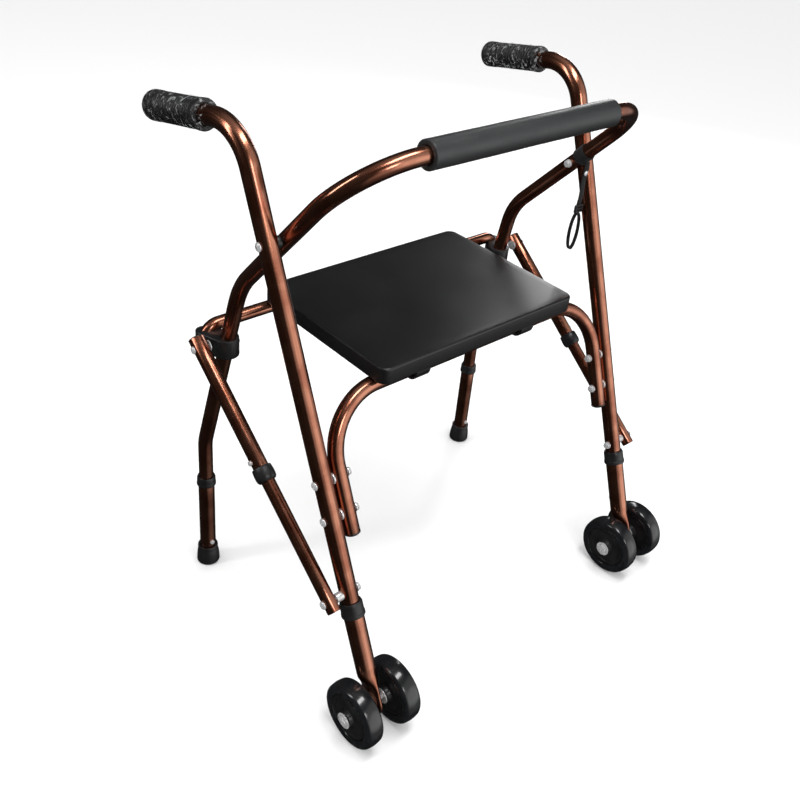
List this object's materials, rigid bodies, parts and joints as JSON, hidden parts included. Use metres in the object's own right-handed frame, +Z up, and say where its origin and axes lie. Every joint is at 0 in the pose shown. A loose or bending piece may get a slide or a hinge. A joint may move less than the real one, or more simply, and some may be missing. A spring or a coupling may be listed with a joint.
{
  "type": "rollator walker",
  "caption": "Folding tube walker with a flip-up seat, a padded bar, moulded grips, paired front wheels on each leg and rubber-footed rear legs.",
  "frame": {"origin": "on the floor, under the middle of the bounding box", "axes": "+Z up, -Y to the front where the wheels and the padded bar are, +X to the left of a user standing behind the seat"},
  "size_m": [0.6858, 0.5424, 0.793],
  "materials": {
    "anodised_tube": "glossy bronze anodised",
    "bright_steel": "bright zinc plated",
    "black_plastic": "fine moulded satin",
    "grip_rubber": "ribbed satin",
    "foot_rubber": "satin",
    "tyre_rubber": "smooth and glossy",
    "pad_foam": "closed-cell foam, matte",
    "seat_cover": "smooth black vinyl, satin",
    "webbing": "woven band"
  },
  "bodies": {
    "front_frame": {"wheel_leg_left": "anodised_tube", "wheel_leg_right": "anodised_tube", "grip_left": "grip_rubber", "grip_right": "grip_rubber", "seat_support": "anodised_tube", "pivot_spacer_left": "black_plastic", "pivot_bolt_left": "bright_steel", "support_bolt_upper_left": "bright_steel", "support_bolt_lower_left": "bright_steel", "brace_bolt_left": "bright_steel", "brace_standoff_left": "bright_steel", "pivot_spacer_right": "black_plastic", "pivot_bolt_right": "bright_steel", "support_bolt_upper_right": "bright_steel", "support_bolt_lower_right": "bright_steel", "brace_bolt_right": "bright_steel", "brace_standoff_right": "bright_steel"},
    "rear_frame": {"rear_bow": "anodised_tube", "back_pad": "pad_foam", "rear_rail": "anodised_tube", "rail_block_left": "black_plastic", "rail_block_right": "black_plastic", "strap": "webbing", "strap_buckle": "black_plastic"},
    "seat": {"seat_pad": "seat_cover", "seat_base": "black_plastic"},
    "front_lower_left": {"front_lower_leg_left": "anodised_tube", "front_collar_left": "black_plastic", "axle_left": "bright_steel"},
    "front_catch_left": {"front_catch_left": "bright_steel"},
    "wheel_outer_left": {"tyre_outer_left": "tyre_rubber", "hub_outer_left": "black_plastic"},
    "wheel_inner_left": {"tyre_inner_left": "tyre_rubber", "hub_inner_left": "black_plastic"},
    "rear_lower_left": {"rear_lower_leg_left": "anodised_tube", "rear_collar_left": "black_plastic", "rear_foot_left": "foot_rubber"},
    "rear_catch_left": {"rear_catch_left": "bright_steel"},
    "brace_lower_left": {"brace_lower_left": "anodised_tube"},
    "brace_upper_left": {"brace_upper_left": "anodised_tube", "brace_collar_left": "black_plastic", "brace_rivet_left": "bright_steel"},
    "brace_catch_left": {"brace_catch_left": "bright_steel"},
    "front_lower_right": {"front_lower_leg_right": "anodised_tube", "front_collar_right": "black_plastic", "axle_right": "bright_steel"},
    "front_catch_right": {"front_catch_right": "bright_steel"},
    "wheel_outer_right": {"tyre_outer_right": "tyre_rubber", "hub_outer_right": "black_plastic"},
    "wheel_inner_right": {"tyre_inner_right": "tyre_rubber", "hub_inner_right": "black_plastic"},
    "rear_lower_right": {"rear_lower_leg_right": "anodised_tube", "rear_collar_right": "black_plastic", "rear_foot_right": "foot_rubber"},
    "rear_catch_right": {"rear_catch_right": "bright_steel"},
    "brace_lower_right": {"brace_lower_right": "anodised_tube"},
    "brace_upper_right": {"brace_upper_right": "anodised_tube", "brace_collar_right": "black_plastic", "brace_rivet_right": "bright_steel"},
    "brace_catch_right": {"brace_catch_right": "bright_steel"}
  },
  "joints": [
    {"name": "fold", "type": "hinge", "parent": "front_frame", "child": "rear_frame", "pos_m": [0, 0.02811, 0.649], "axis": [-1, 0, 0], "range_deg": [0, 29]},
    {"name": "seat_flip", "type": "hinge", "parent": "front_frame", "child": "seat", "pos_m": [0, -0.05281, 0.4546], "axis": [1, 0, 0], "range_deg": [0, 80]},
    {"name": "front_height_left", "type": "slide", "parent": "front_frame", "child": "front_lower_left", "axis": [-0.0169, -0.3842, -0.9231], "range_m": [0, 0.0508]},
    {"name": "front_catch_press_left", "type": "slide", "parent": "front_lower_left", "child": "front_catch_left", "axis": [0.0034, -0.9232, 0.3842], "range_m": [0, 0.0025], "stiffness_N_per_m": 1000},
    {"name": "wheel_spin_outer_left", "type": "hinge", "parent": "front_lower_left", "child": "wheel_outer_left", "pos_m": [0.3175, -0.22123, 0.05], "axis": [1, 0, 0], "continuous": true},
    {"name": "wheel_spin_inner_left", "type": "hinge", "parent": "front_lower_left", "child": "wheel_inner_left", "pos_m": [0.2495, -0.22123, 0.05], "axis": [1, 0, 0], "continuous": true},
    {"name": "rear_height_left", "type": "slide", "parent": "rear_frame", "child": "rear_lower_left", "axis": [0.0121, 0, -0.9999], "range_m": [0, 0.0508]},
    {"name": "rear_catch_press_left", "type": "slide", "parent": "rear_lower_left", "child": "rear_catch_left", "axis": [0, 1, 0], "range_m": [0, 0.0025], "stiffness_N_per_m": 1000},
    {"name": "brace_hinge_left", "type": "hinge", "parent": "front_frame", "child": "brace_lower_left", "pos_m": [0.31848, -0.15338, 0.213], "axis": [1, 0, 0], "range_deg": [0, 8.84]},
    {"name": "brace_slide_left", "type": "slide", "parent": "brace_lower_left", "child": "brace_upper_left", "axis": [0, -0.7926, -0.6097], "range_m": [0, 0.1098]},
    {"name": "brace_catch_press_left", "type": "slide", "parent": "brace_upper_left", "child": "brace_catch_left", "axis": [-1, 0, 0], "range_m": [0, 0.0025], "stiffness_N_per_m": 1000},
    {"name": "front_height_right", "type": "slide", "parent": "front_frame", "child": "front_lower_right", "axis": [0.0169, -0.3842, -0.9231], "range_m": [0, 0.0508]},
    {"name": "front_catch_press_right", "type": "slide", "parent": "front_lower_right", "child": "front_catch_right", "axis": [-0.0034, -0.9232, 0.3842], "range_m": [0, 0.0025], "stiffness_N_per_m": 1000},
    {"name": "wheel_spin_outer_right", "type": "hinge", "parent": "front_lower_right", "child": "wheel_outer_right", "pos_m": [-0.3175, -0.22123, 0.05], "axis": [1, 0, 0], "continuous": true},
    {"name": "wheel_spin_inner_right", "type": "hinge", "parent": "front_lower_right", "child": "wheel_inner_right", "pos_m": [-0.2495, -0.22123, 0.05], "axis": [1, 0, 0], "continuous": true},
    {"name": "rear_height_right", "type": "slide", "parent": "rear_frame", "child": "rear_lower_right", "axis": [-0.0121, 0, -0.9999], "range_m": [0, 0.0508]},
    {"name": "rear_catch_press_right", "type": "slide", "parent": "rear_lower_right", "child": "rear_catch_right", "axis": [0, 1, 0], "range_m": [0, 0.0025], "stiffness_N_per_m": 1000},
    {"name": "brace_hinge_right", "type": "hinge", "parent": "front_frame", "child": "brace_lower_right", "pos_m": [-0.31848, -0.15338, 0.213], "axis": [1, 0, 0], "range_deg": [0, 8.84]},
    {"name": "brace_slide_right", "type": "slide", "parent": "brace_lower_right", "child": "brace_upper_right", "axis": [0, -0.7926, -0.6097], "range_m": [0, 0.1098]},
    {"name": "brace_catch_press_right", "type": "slide", "parent": "brace_upper_right", "child": "brace_catch_right", "axis": [1, 0, 0], "range_m": [0, 0.0025], "stiffness_N_per_m": 1000}
  ],
  "couplings": [
    {"joint": "brace_hinge_left", "follows": "fold", "ratio": 0.29441},
    {"joint": "brace_slide_left", "follows": "fold", "m_per_rad": 0.21293},
    {"joint": "brace_hinge_right", "follows": "fold", "ratio": 0.29441},
    {"joint": "brace_slide_right", "follows": "fold", "m_per_rad": 0.21293}
  ]
}
